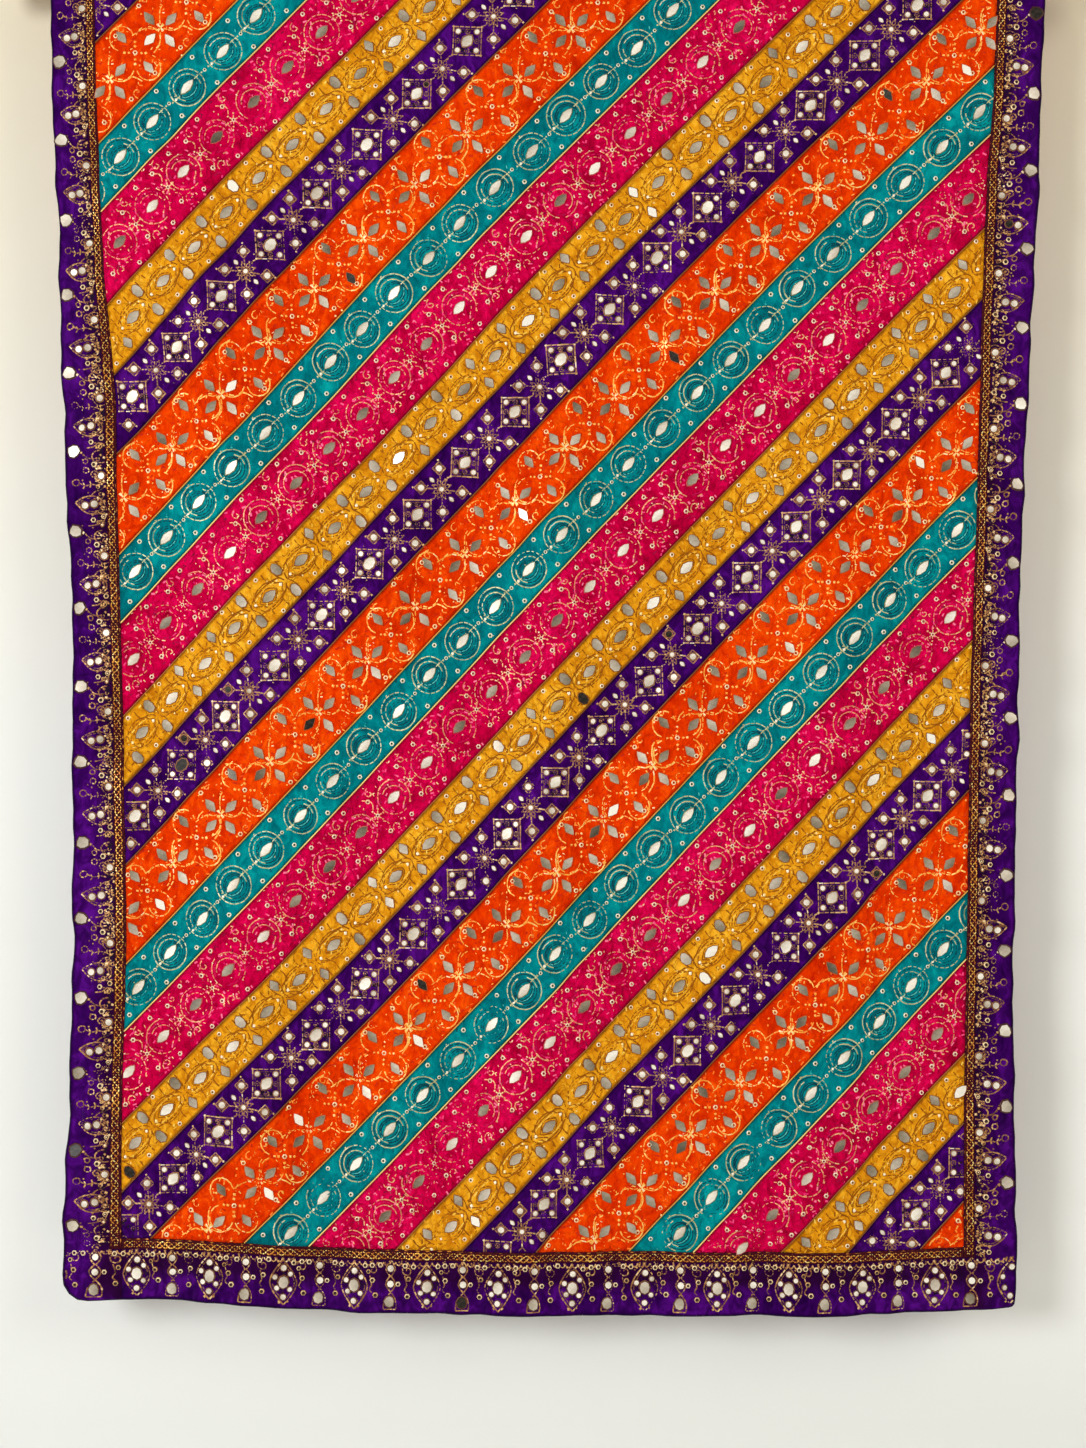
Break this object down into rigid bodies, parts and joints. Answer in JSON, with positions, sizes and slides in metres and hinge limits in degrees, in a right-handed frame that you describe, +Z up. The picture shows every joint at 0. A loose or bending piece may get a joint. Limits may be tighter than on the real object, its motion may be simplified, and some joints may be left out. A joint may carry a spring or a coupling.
{
  "type": "mirror work dupatta folded over a plain hanging rod",
  "caption": "Long dupatta of diagonal strips with mirror work, purple borders and gold braid, folded in half over a plain round rod.",
  "frame": {"origin": "middle of the rod's axis, where the rod holds the cloth", "axes": "+Z up, +X along the rod to the right as seen from the front, -Y towards the viewer; the longer half hangs in front"},
  "size_m": [1.06, 0.0662, 1.2848],
  "materials": {
    "orange_cloth": "satin",
    "teal_cloth": "satin",
    "pink_cloth": "satin",
    "mustard_cloth": "satin",
    "purple_cloth": "satin",
    "gold_braid": "metallic thread",
    "gold_thread": "metallic thread",
    "mirror_glass": "polished",
    "rod_wood": "oiled"
  },
  "bodies": {
    "root": {"border_back_end": "purple_cloth", "border_front_end": "purple_cloth", "border_left": "purple_cloth", "border_right": "purple_cloth", "braid_back_end": "gold_braid", "braid_front_end": "gold_braid", "braid_left": "gold_braid", "braid_right": "gold_braid", "rod": "rod_wood", "strip_01_purple": "purple_cloth", "strip_02_orange": "orange_cloth", "strip_03_teal": "teal_cloth", "strip_04_pink": "pink_cloth", "strip_05_mustard": "mustard_cloth", "strip_06_purple": "purple_cloth", "strip_07_orange": "orange_cloth", "strip_08_teal": "teal_cloth", "strip_09_pink": "pink_cloth", "strip_10_mustard": "mustard_cloth", "strip_11_purple": "purple_cloth", "strip_12_orange": "orange_cloth", "strip_13_teal": "teal_cloth", "strip_14_pink": "pink_cloth", "strip_15_mustard": "mustard_cloth", "strip_16_purple": "purple_cloth", "strip_17_orange": "orange_cloth", "strip_18_teal": "teal_cloth", "strip_19_pink": "pink_cloth", "strip_20_mustard": "mustard_cloth", "strip_21_purple": "purple_cloth", "strip_22_orange": "orange_cloth", "strip_23_teal": "teal_cloth", "strip_24_pink": "pink_cloth", "strip_25_mustard": "mustard_cloth", "strip_26_purple": "purple_cloth", "strip_27_orange": "orange_cloth", "strip_28_teal": "teal_cloth", "strip_29_pink": "pink_cloth", "strip_30_mustard": "mustard_cloth", "strip_31_purple": "purple_cloth", "strip_32_orange": "orange_cloth", "strip_33_teal": "teal_cloth", "strip_34_pink": "pink_cloth", "strip_35_mustard": "mustard_cloth", "strip_36_purple": "purple_cloth", "strip_37_orange": "orange_cloth", "strip_38_teal": "teal_cloth", "strip_39_pink": "pink_cloth", "strip_40_mustard": "mustard_cloth", "strip_41_purple": "purple_cloth", "strip_42_orange": "orange_cloth"}
  },
  "joints": []
}
